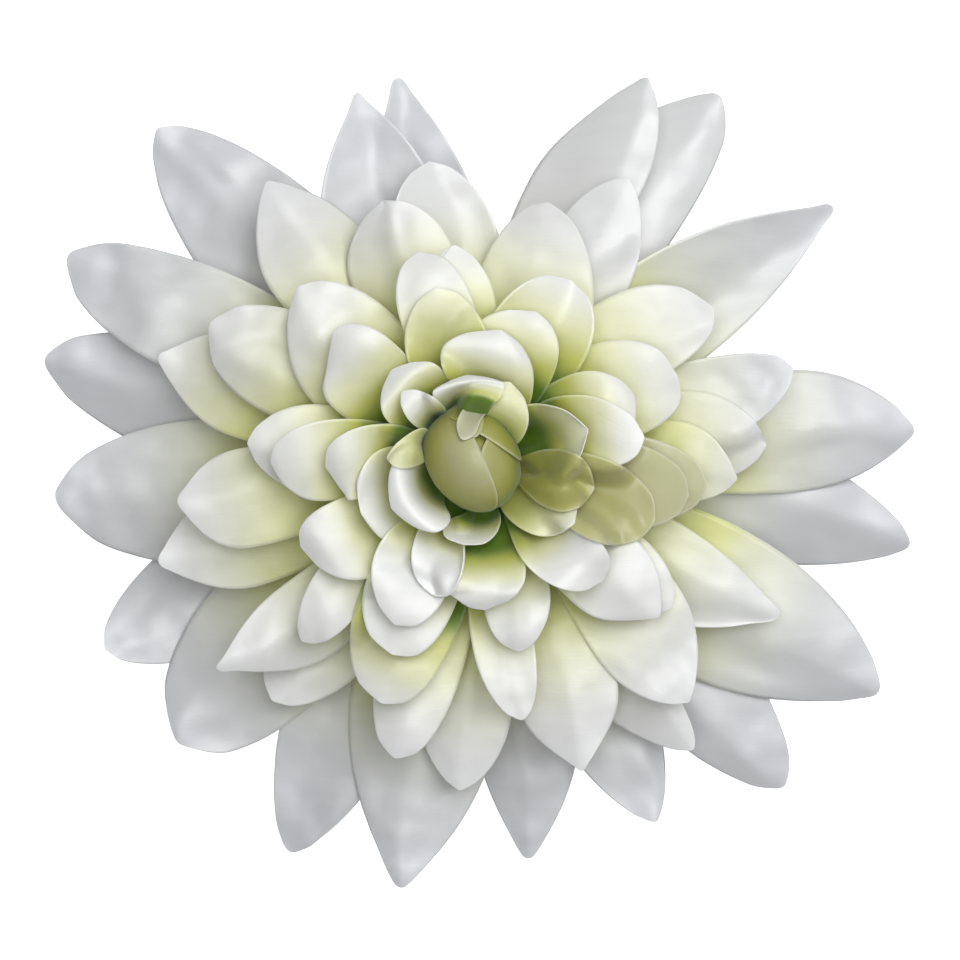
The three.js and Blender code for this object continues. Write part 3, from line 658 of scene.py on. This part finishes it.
         dict(turn=203.3, reach=18.6, width=15, rise=10, fall=30, tip=41, cup=36, left_curl=-30,
              wrap=0.04),
         dict(turn=243.0, reach=26.6, width=12, bow=-1.4, tint=0.0, fall=-20, ripple=0.5),
         dict(turn=272.8, reach=21.2, width=12, tint=0.6, ripple=0.8, fall=-58),
         dict(turn=316.7, reach=25.1, width=10, bow=-1, left_fold=14, right_fold=18, tint=0.1),
         # painted shade: the bud's darker satin on a petal that lies in shade
         dict(turn=341.5, reach=27.4, width=12, rise=35, fall=14, tip=36, dye=0.3, dye_reach=50,
              ripple=0.2, cloth="bud", tint=0),
     ]},
    {"name": "h", "hub": 29, "start": 25.9, "rise": 12, "fall": -50, "tip": 43.5, "hold": 0.46,
     "widest": 0.68, "point": 0.5, "cup": 38, "fold": 0, "ripple": 0.15, "dye_reach": 17,
     "tint": 0.25, "petals": [
         dict(turn=16.4, reach=16.8, width=12.5, rise=5, fall=38, tip=42.5, cup=60, relax=0,
              dye_reach=25, left_curl=-20, right_curl=-20, tint=0.2, dye=0.9),
         dict(turn=68.0, reach=12.6, width=9.5, fall=-20, tint=0.4, wrap=0.03, rise=70, hold=0.5,
              tip=43, dye_reach=40, dye=0.45),
         dict(turn=97.0, reach=12.8, width=10.5, fall=-70, widest=0.8, wrap=0.06, tint=0.5),
         dict(turn=137.0, reach=15.0, width=5, tint=0.7, fall=-20),
         dict(turn=177.0, reach=13.2, width=5.5, hub=29.8, bow=-1.5, dye=0.5, dye_reach=40, fall=-10,
              tip=44),
         dict(turn=208.0, reach=14.2, width=12.6, hub=29.6, hold=0.5, fall=-38, dye_reach=15,
              tint=0.0, widest=0.8, wrap=0.09, ripple=0.05),
         dict(turn=251.7, reach=20.5, width=9.5, tip=40, fall=-35, left_curl=120, curl_start=0.0,
              tint=0.1),
         dict(turn=261.0, reach=12.2, width=8, rise=5, fall=60, tip=42, cup=45),
         dict(turn=327.5, reach=16.7, width=8.5, tip=38, rise=30, fall=-30, dye=0.5, dye_reach=26),
         # painted shade: the bud's darker satin on a petal that lies in shade
         dict(turn=347.1, reach=17.5, width=9, tip=37, rise=30, fall=-10, dye=0.4, dye_reach=30,
              cloth="bud"),
     ]},
]
SEPARATE = "abcde"  # the petals of these rosettes are nodes of their own
JOINED = "fgh"  # each of these rosettes is one node
SEED_STEP = 1.7  # from one petal's noise to the next one's
SEEDS_PER_ROSETTE = 40.0


def spread(rosette, first_seed):
    """The rosette's petals, each with all that it needs, its name and the way it leaves the peg."""
    shared = {key: value for key, value in rosette.items() if key != "petals"}
    petals = []
    for k, own in enumerate(rosette["petals"]):
        petal = {**PLAIN, **shared, **own, "seed": first_seed + SEED_STEP * k}
        petal["leaves"] = rosette["start"] + k * 360 / PETALS_IN_ROSETTE
        while petal["leaves"] - petal["turn"] > 180:
            petal["leaves"] -= 360
        petal["ring"] = rosette["name"]
        petal["name"] = f"petal_{rosette['name']}_{k + 1:02d}"
        petals.append(petal)
    return petals


PETALS = []
for n, rosette in enumerate(ROSETTES):
    PETALS.extend(spread(rosette, SEEDS_PER_ROSETTE * n))
print(len(PETALS), "petals in", len(ROSETTES), "rosettes")

# %% [markdown]
# ## Pressing the petals
# The midrib is a smooth curve from the peg to the tip. Its two handles point along the slopes at
# its ends. Each petal gets a blank object with the press on it as a modifier, the inputs are set,
# and the result is read back as points to work on.

# %% Press every petal
PEG_RADIUS = 4.0
HUB_RADIUS = PEG_RADIUS + 0.2  # mm; a rosette's hole has a little play on the peg


def outward(degrees):
    """The level direction away from the peg at a compass angle."""
    bearing = math.radians(degrees)
    return np.array([math.cos(bearing), math.sin(bearing), 0.0])


def sloped(degrees, slope):
    """The same direction, tilted up by a slope."""
    tilt = math.radians(slope)
    return outward(degrees) * math.cos(tilt) + np.array([0, 0, math.sin(tilt)])


def midrib(petal):
    """The four points that steer a petal's midrib, in millimetres."""
    foot = outward(petal["leaves"]) * HUB_RADIUS + np.array([0, 0, petal["hub"]])
    tip = outward(petal["turn"]) * petal["reach"] + np.array([0, 0, petal["tip"]])
    hold = petal["hold"] * np.linalg.norm(tip - foot)
    return [foot, foot + hold * sloped(petal["leaves"], petal["rise"]),
            tip - hold * sloped(petal["turn"], petal["fall"]), tip]


def midrib_length(points):
    """The length of the midrib that four points steer, in millimetres."""
    share = np.linspace(0, 1, 60)[:, None]
    rest = 1 - share
    line = (points[0] * rest ** 3 + 3 * points[1] * rest ** 2 * share
            + 3 * points[2] * rest * share ** 2 + points[3] * share ** 3)
    return float(np.linalg.norm(np.diff(line, axis=0), axis=1).sum())


def blank(petal, cloth):
    """An object that carries the press, with its inputs set."""
    points = midrib(petal)
    petal["length"] = midrib_length(points)
    values = dict(zip(("foot", "foot handle", "tip handle", "tip"), [tuple(p) for p in points]))
    for name in ("leaves", "turn", "cup", "left curl", "right curl"):
        values[name] = math.radians(petal[name.replace(" ", "_")])
    for name in ("length", "widest", "point", "blunt", "relax", "bow", "fold line", "curl start",
                 "lip", "wrap", "ripple", "pleat", "seed", "dye", "dye reach", "tint"):
        values[name] = float(petal[name.replace(" ", "_")])
    values["left share"] = 1.0 + petal["uneven"]
    values["right share"] = 1.0 - petal["uneven"]
    for name in ("left fold", "right fold"):
        values[name] = math.tan(math.radians(petal.get(name.replace(" ", "_"), petal["fold"])))
    values.update({"half width": petal["width"] / 2, "cloth": cloth})
    made = bpy.data.objects.new(petal["name"] + "_blank", bpy.data.meshes.new("blank"))
    bpy.context.collection.objects.link(made)
    press = made.modifiers.new("press", "NODES")
    press.node_group = PRESS
    for socket in PRESS.interface.items_tree:
        if socket.name in values:
            press[socket.identifier] = values[socket.name]
    return made


def press_all(petals, cloths):
    """Presses petals and keeps each one's mesh, and its points as rows from foot to tip."""
    blanks = [blank(petal, cloth) for petal, cloth in zip(petals, cloths)]
    depsgraph = bpy.context.evaluated_depsgraph_get()
    for petal, made in zip(petals, blanks):
        mesh = bpy.data.meshes.new_from_object(made.evaluated_get(depsgraph))
        points = np.empty(len(mesh.vertices) * 3)
        mesh.vertices.foreach_get("co", points)
        petal["mesh"] = mesh
        petal["rows"] = points.reshape(STEPS_ALONG + 1, STEPS_ACROSS + 1, 3)
    for made in blanks:
        bpy.data.objects.remove(made)


# each rosette's satin; the bud's darker satin also serves as painted shade on a few petals, and
# rosette c's paler one as painted highlight
CLOTHS = {"a": OUTER_SHADED, "b": OUTER_SHADED, "c": MIDDLE_HALF_SHADED, "d": MIDDLE_HALF_SHADED, "bud": BUD_AND_SHADE_SATIN}
press_all(PETALS, [CLOTHS.get(petal.get("cloth", petal["ring"]), INNER) for petal in PETALS])
print("pressed", len(PETALS), "petals,", len(PETALS[0]["mesh"].vertices), "points each")

# %% [markdown]
# ## Laying the petals on each other
# A petal rests on those under it, so its shape depends on them. A cloth simulation of eighty
# stiff petals would be slow, and would tear where they start crossed. So they are laid one at a
# time. A height map keeps how high the cloth reaches over each spot of the table. Each new petal
# is lifted wherever the map is higher than it, the lift is spread out as stiff cloth would, and
# then the petal is added to the map.

# %% The height map
CLOTH = 0.24  # mm, the room that it takes with its frayed and wavy edges
GAP = 0.14  # mm of air between two petals
SPOT = 0.25  # mm along and across one spot of the height map
SPOTS = 600  # along and across the map, which is 150 mm wide
STEEPEST = 0.35  # least upright share that is reckoned with, so that a wall isn't lifted sky high
FINE = 4  # times as many points as the press makes, so that no spot of the map is missed
BARE = -1.0  # mm, the map's height where there is no cloth yet
tops = np.full((SPOTS, SPOTS), BARE)


def facing(rows):
    """The upright share of the direction that the cloth faces, at each point."""
    along = np.gradient(rows, axis=0)
    across = np.gradient(rows, axis=1)
    normal = np.cross(along, across)
    return normal[..., 2] / np.maximum(np.linalg.norm(normal, axis=2), 1e-9)


def spots_of(points):
    """The spots of the height map that points lie over."""
    return np.round(points[..., :2] / SPOT + SPOTS / 2).astype(int)


def finer(rows):
    """The same sheet with more points along and across."""
    for axis in (0, 1):
        steps = rows.shape[axis] - 1
        place = np.linspace(0, steps, steps * FINE + 1)
        low = np.minimum(place.astype(int), steps - 1)
        share = (place - low).reshape([-1 if a == axis else 1 for a in range(3)])
        rows = np.take(rows, low, axis) * (1 - share) + np.take(rows, low + 1, axis) * share
    return rows


def add_to_tops(rows):
    """Raises the height map to the upper side of a sheet, where that is higher."""
    upright = np.maximum(np.abs(facing(rows)), STEEPEST)[..., None]
    sheet = finer(np.concatenate([rows, upright], axis=2))
    spots = spots_of(sheet)
    high = sheet[..., 2] + CLOTH / 2 / sheet[..., 3]
    for dx, dy in ((0, 0), (1, 0), (-1, 0), (0, 1), (0, -1)):
        np.maximum.at(tops, (spots[..., 0] + dx, spots[..., 1] + dy), high)


print("height map", SPOTS * SPOT, "mm wide")

# %% Lay every petal
FREE_FROM = 0.07  # share of a petal's rows of points after which it may be lifted in full
SMOOTHINGS = 4  # times that the lift is averaged with what is round it


def around(grid, pick):
    """Each value of a grid replaced by what pick makes of it and its eight neighbours."""
    wide = np.pad(grid, 1, mode="edge")
    rows, columns = grid.shape
    near = [wide[a:a + rows, b:b + columns] for a in range(3) for b in range(3)]
    return pick(np.stack(near), axis=0)


def lay(petal):
    """Lifts a petal clear of the cloth under it, and adds it to the height map."""
    rows = petal["rows"]
    spots = spots_of(rows)
    room = (GAP + CLOTH / 2) / np.maximum(np.abs(facing(rows)), STEEPEST)
    needed = np.maximum(tops[spots[..., 0], spots[..., 1]] + room - rows[..., 2], 0)
    lift = around(around(needed, np.max), np.max)
    for _ in range(SMOOTHINGS):
        lift = around(lift, np.mean)
    free = np.minimum(np.linspace(0, 1, len(rows)) / FREE_FROM, 1)[:, None]
    rows[..., 2] += np.maximum(lift, needed) * free
    petal["lift"] = float(lift.max())
    add_to_tops(rows)


PETALS.sort(key=lambda petal: petal["hub"])
for petal in PETALS:
    lay(petal)
for ring in SEPARATE + JOINED:
    lifts = [petal["lift"] for petal in PETALS if petal["ring"] == ring]
    print("rosette", ring, "lifted by up to", round(max(lifts), 1), "mm")

# %% [markdown]
# ## Cloth pieces
# The petals of the five outer rosettes are pieces of their own, and each inner rosette is one
# piece of ten petals. A Solidify modifier gives the cloth its thickness.

# %% Turn points into cloth
THIN = 0.16  # mm, the cloth itself


def place_points(mesh, rows):
    """Moves a mesh's points to rows in millimetres from the peg's axis."""
    points = rows.reshape(-1, 3) * MM + np.array(AXIS)
    mesh.vertices.foreach_set("co", points.ravel())
    mesh.update()


def thicken(piece):
    """Gives a sheet the thickness of cloth."""
    solid = piece.modifiers.new("thickness", "SOLIDIFY")
    solid.thickness = THIN * MM
    solid.offset = 0.0
    solid.use_even_offset = False


def flat_area(rows):
    """The area of a sheet of points, in square millimetres."""
    one = rows[1:, :-1] - rows[:-1, :-1]
    two = rows[:-1, 1:] - rows[:-1, :-1]
    return float(np.linalg.norm(np.cross(one, two), axis=2).sum())


def join(name, meshes):
    """One object of several meshes."""
    parts = [bpy.data.objects.new(name, mesh) for mesh in meshes]
    for part in parts:
        bpy.context.collection.objects.link(part)
    if len(parts) > 1:
        with bpy.context.temp_override(active_object=parts[0], selected_editable_objects=parts):
            bpy.ops.object.join()
    return parts[0]


print("cloth", THIN, "mm thick")

# %% The petals that are pieces of their own
LEAST_WIDTH = 10.0  # mm; the least width that is reckoned for a petal
for petal in PETALS:
    place_points(petal["mesh"], petal["rows"])
    if petal["ring"] in SEPARATE:
        piece = join("cloth_" + petal["name"], [petal["mesh"]])
        thicken(piece)
        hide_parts(petal["name"])
        "outer petal satin" if petal["ring"] in "abc" else "inner petal satin"
        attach(piece, "root")
        width = max(petal["width"], LEAST_WIDTH)
        width * MM
        petal["length"] * MM
        flat_area(petal["rows"]) * MM * MM
print("petals of their own", sum(petal["ring"] in SEPARATE for petal in PETALS))

# %% The rosettes that are one piece each
LEAST_SHARE = 0.305  # the least share of its square that is reckoned for a rosette
for ring in JOINED:
    own = [petal for petal in PETALS if petal["ring"] == ring]
    piece = join("cloth_rosette_" + ring, [petal["mesh"] for petal in own])
    thicken(piece)
    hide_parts("rosette_" + ring)
    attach(piece, "root")
    square = 2 * (HUB_RADIUS + max(petal["length"] for petal in own))
    area = sum(flat_area(petal["rows"]) for petal in own)
    square * MM
    square * MM
    max(area, LEAST_SHARE * square * square) * MM * MM
    print("rosette", ring, "is cut from a square of", round(square), "mm and fills",
          round(area / square / square, 2), "of it")

# %% [markdown]
# ## The bud
# The bud is a wad with a few petals wrapped round it. A wrapped petal has no shape of its own, it
# takes the wad's. So the press gives only its outline, nearly flat, and each point of that is
# then carried round the wad: so far along a curved path over it, and so far to the side. The
# whole bud leans a little, and it is greener the lower one looks between its petals.

# %% Where the bud's petals go
BUD_MIDDLE = np.array([-0.6, 0.3, 37.9])
BUD_HALF = np.array([6.2, 7.0, 7.2])  # half the wad's size along x, y and z
BUD_LAYER = 0.32  # mm from one wrapped petal to the next
LEAN = np.array([0.18, 0, 0])  # how far the bud leans to the side for each mm from back to front
# begins, passes and ends: places on the wad, as compass angle and angle from the top.
BUD_PETALS = [
    dict(begins=(150, 112), passes=(185, 60), ends=(232, 112), width=14, layer=0, dye=0.4),
    dict(begins=(30, 112), passes=(338, 30), ends=(287, 98), width=13, layer=1, point=0.65, dye=0.3),
    dict(begins=(115, 112), passes=(208, 14), ends=(262, 98), width=11.4, layer=2, point=0.7, dye=0.2),
    dict(begins=(105, 62), passes=(52, 44), ends=(2, 84), width=4.6, layer=3, point=0.8, dye=0.35),
    dict(begins=(84, 96), passes=(72, 62), ends=(82, 24), width=2.0, layer=4, dye=0.3, cup=40),
    dict(begins=(72, 66), passes=(84, 44), ends=(112, 22), width=2.6, layer=4.6, dye=-0.4, cup=60),
]
WRAP = dict(PLAIN, leaves=0.0, turn=0.0, hub=0.0, tip=0.0, rise=0.0, fall=0.0, widest=0.5, point=0.6,
            cup=4, dye=0.3, dye_reach=200.0, tint=0.0, ripple=0.12)
print(len(BUD_PETALS), "petals go round the wad")

# %% Carry a petal round the wad
def on_wad(compass, from_top):
    """The direction from the bud's middle to a place on the wad."""
    compass, from_top = math.radians(compass), math.radians(from_top)
    return np.array([math.sin(from_top) * math.cos(compass), math.sin(from_top) * math.sin(compass),
                     math.cos(from_top)])


def leaned(points):
    """Shifts the far side of the bud to the left and its near side to the right."""
    return points - (points[..., 1:2] - BUD_MIDDLE[1]) * LEAN


LOWER_GREEN = 0.75  # how much greener and darker the bud is at its widest than on top


def greener_lower(mesh, points, dye):
    """Makes a piece of the bud greener and darker towards its foot than on top."""
    height = np.clip((points.reshape(-1, 3)[:, 2] - BUD_MIDDLE[2]) / BUD_HALF[2], 0, 1)
    mesh.attributes["dye"].data.foreach_set("value", dye + LOWER_GREEN * (1 - height))


def unit(vectors):
    return vectors / np.linalg.norm(vectors, axis=-1, keepdims=True)


def wrap_round(petal):
    """Carries the rows of a flat petal round the wad."""
    rows = petal["rows"]
    share = np.clip((rows[..., 0:1] - HUB_RADIUS) / (petal["reach"] - HUB_RADIUS), 0, 1)
    begins, passes, ends = (on_wad(*petal[name]) for name in ("begins", "passes", "ends"))
    path = unit(begins * (1 - share) ** 2 + passes * 2 * share * (1 - share) + ends * share ** 2)
    way = (passes - begins) * (1 - share) + (ends - passes) * share
    side = unit(np.cross(path, way))
    angle = rows[..., 1:2] / BUD_HALF.mean()
    layer = 1 + (rows[..., 2:3] + petal["layer"] * BUD_LAYER) / BUD_HALF.mean()
    around_wad = BUD_HALF * layer * (path * np.cos(angle) + side * np.sin(angle))
    petal["rows"] = leaned(BUD_MIDDLE + around_wad)


print("far side of the bud", (leaned(BUD_MIDDLE + BUD_HALF * on_wad(90, 90)) - BUD_MIDDLE).round(1),
      "mm from its middle")

# %% [markdown]
# ## The wad
# The wad shows only where two wrapped petals part, so a plain round mesh of few faces does. Its
# ends are closed with one face each.

# %% The wad
WAD_DYE = 0.45  # on top
WAD_STEPS = 32  # points round the wad


def wad():
    """The round wad under the wrapped petals, as a mesh with the same layers as a petal."""
    steps = WAD_STEPS
    turn = np.linspace(0, math.pi, steps // 2 + 1)[1:-1, None]
    round_it = np.linspace(0, 2 * math.pi, steps, endpoint=False)[None, :]
    ball = np.stack([np.sin(turn) * np.cos(round_it), np.sin(turn) * np.sin(round_it),
                     -np.cos(turn) * np.ones_like(round_it)], axis=2)
    points = leaned(BUD_MIDDLE + (BUD_HALF - BUD_LAYER) * ball).reshape(-1, 3)
    rows = len(turn)
    faces = [(i * steps + j, i * steps + (j + 1) % steps, (i + 1) * steps + (j + 1) % steps,
              (i + 1) * steps + j) for i in range(rows - 1) for j in range(steps)]
    faces.append(list(reversed(range(steps))))
    faces.append([(rows - 1) * steps + j for j in range(steps)])
    mesh = bpy.data.meshes.new("wad")
    mesh.from_pydata(points * MM + np.array(AXIS), [], faces)
    mesh.attributes.new("dye", "FLOAT", "POINT")
    greener_lower(mesh, points, WAD_DYE)
    mesh.uv_layers.new(name="cut")
    mesh.materials.append(BUD_AND_SHADE_SATIN)
    mesh.polygons.foreach_set("use_smooth", [True] * len(faces))
    return mesh


core = join("bud_wad", [wad()])
print("wad of", len(core.data.polygons), "faces")

# %% [markdown]
# ## Wrapping the bud
# Each wrapped petal is cut as long as its path over the wad, pressed nearly flat by the same tree
# as the others, and carried round. All six are joined to one piece, because they are wound on as
# one.

# %% Wrap the bud
CORNER_CUT = 0.9  # a wrapped petal's path rounds its corner, so it is shorter than its two legs
wraps = [{**WRAP, **own, "name": f"wrap_{k}", "seed": 400.0 + k} for k, own in enumerate(BUD_PETALS)]
for wrap in wraps:
    corners = [on_wad(*wrap[name]) for name in ("begins", "passes", "ends")]
    angles = [math.acos(np.clip(one @ two, -1, 1)) for one, two in zip(corners, corners[1:])]
    wrap["reach"] = HUB_RADIUS + CORNER_CUT * sum(angles) * BUD_HALF.mean()
press_all(wraps, [BUD_AND_SHADE_SATIN] * len(wraps))
for wrap in wraps:
    wrap_round(wrap)
    place_points(wrap["mesh"], wrap["rows"])
    greener_lower(wrap["mesh"], wrap["rows"], wrap["dye"])
bud = join("wrapped_bud", [wrap["mesh"] for wrap in wraps])
thicken(bud)
for piece in (bud, core):
    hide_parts("bud")
    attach(piece, "root")
wrap_area = sum(flat_area(wrap["rows"]) for wrap in wraps)
print("bud of", len(wraps), "wrapped petals, half its size", BUD_HALF)

# %% [markdown]
# ## Peg and calyx
# Both are moulded in soft green plastic and hardly show. The frame's own solids are right as they
# are, so they stay and only get a finish: a green that varies a little, with the fine unevenness
# of a cheap mould.

# %% Moulded green
def moulded(name, colour, dark, roughness):
    """Soft green plastic with darker clouds and fine pits."""
    finish = bpy.data.materials.new(name)
    finish.use_nodes = True
    finish.node_tree.nodes.clear()
    plan = Plan(finish.node_tree)
    place = plan.node("ShaderNodeTexCoord", out=3)
    cloud = plan.node("ShaderNodeTexNoise", None, {"Vector": place, "Scale": 180.0, "Detail": 3.0})
    pits = plan.node("ShaderNodeTexNoise", None, {"Vector": place, "Scale": 2600.0, "Detail": 1.0})
    bump = plan.node("ShaderNodeBump", None, {"Height": pits, "Strength": 0.2, "Distance": 0.0001})
    body = plan.node("ShaderNodeBsdfPrincipled", None, {
        "Base Color": plan.mixed(plan.ease(cloud, 0.3, 0.7), colour, dark),
        "Roughness": plan.ease(cloud, 0.3, 0.7, roughness, roughness + 0.15), "Normal": bump,
    })
    plan.node("ShaderNodeOutputMaterial", None, {"Surface": body})
    return finish


for node, finish in (("calyx", moulded("calyx green", linear(96, 132, 62), linear(72, 108, 48), 0.5)),
                     ("peg", moulded("peg green", linear(132, 156, 92), linear(112, 138, 76), 0.45))):
    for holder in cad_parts[node].material_slots:
        holder.material = finish
    print(node, "finished in", finish.name)

# %% [markdown]
# ## Table and light
# The flower was photographed on white, in broad soft light that comes from the upper right. A
# large lamp gives the direction. A second one straight above and a weak sky fill the shadows. The
# table glows, so that it stays as white as the background of the photograph. It would light the
# petals from below, which the photograph doesn't show, so it is hidden from the bounced light.

# %% Table
TABLE_SIZE = 2.0
table_mesh = bpy.data.meshes.new("table")
corner = TABLE_SIZE / 2
table_mesh.from_pydata([(-corner, -corner, 0), (corner, -corner, 0), (corner, corner, 0),
                        (-corner, corner, 0)], [], [(0, 1, 2, 3)])
table_top = bpy.data.objects.new("table_top", table_mesh)
bpy.context.collection.objects.link(table_top)
paper = bpy.data.materials.new("white paper")
paper.use_nodes = True
paper_body = paper.node_tree.nodes["Principled BSDF"]
paper_body.inputs["Base Color"].default_value = (0.9, 0.9, 0.9, 1)
paper_body.inputs["Roughness"].default_value = 0.9
paper_body.inputs["Emission Color"].default_value = (1, 1, 1, 1)
paper_body.inputs["Emission Strength"].default_value = 1.0
table_mesh.materials.append(paper)
table_top.visible_diffuse = False
print("table", TABLE_SIZE, "m wide")

# %% Light
SKY_STRENGTH = 0.2
LAMP_POWER = 12.8
FILL_POWER = 14.0
FILL_HEIGHT = 1.8
LAMP_SIZE = 0.9
LAMP_PLACE = Vector((0.42, 0.46, 1.26))
sky = bpy.data.worlds.new("sky")
sky.use_nodes = True
sky.node_tree.nodes["Background"].inputs["Color"].default_value = (0.98, 0.99, 1.0, 1)
sky.node_tree.nodes["Background"].inputs["Strength"].default_value = SKY_STRENGTH
bpy.context.scene.world = sky


def soft_lamp(name, power, place):
    """A square lamp that looks at the flower from a place."""
    lamp = bpy.data.objects.new(name, bpy.data.lights.new(name, "AREA"))
    lamp.data.energy = power
    lamp.data.size = LAMP_SIZE
    lamp.location = place
    lamp.rotation_euler = (-place).to_track_quat("-Z", "Y").to_euler()
    bpy.context.collection.objects.link(lamp)


soft_lamp("lamp", LAMP_POWER, LAMP_PLACE)
soft_lamp("fill", FILL_POWER, Vector((0, 0, FILL_HEIGHT)))
bpy.context.scene.view_settings.view_transform = "Standard"
print("sky", SKY_STRENGTH, "lamp", LAMP_POWER, "fill", FILL_POWER)
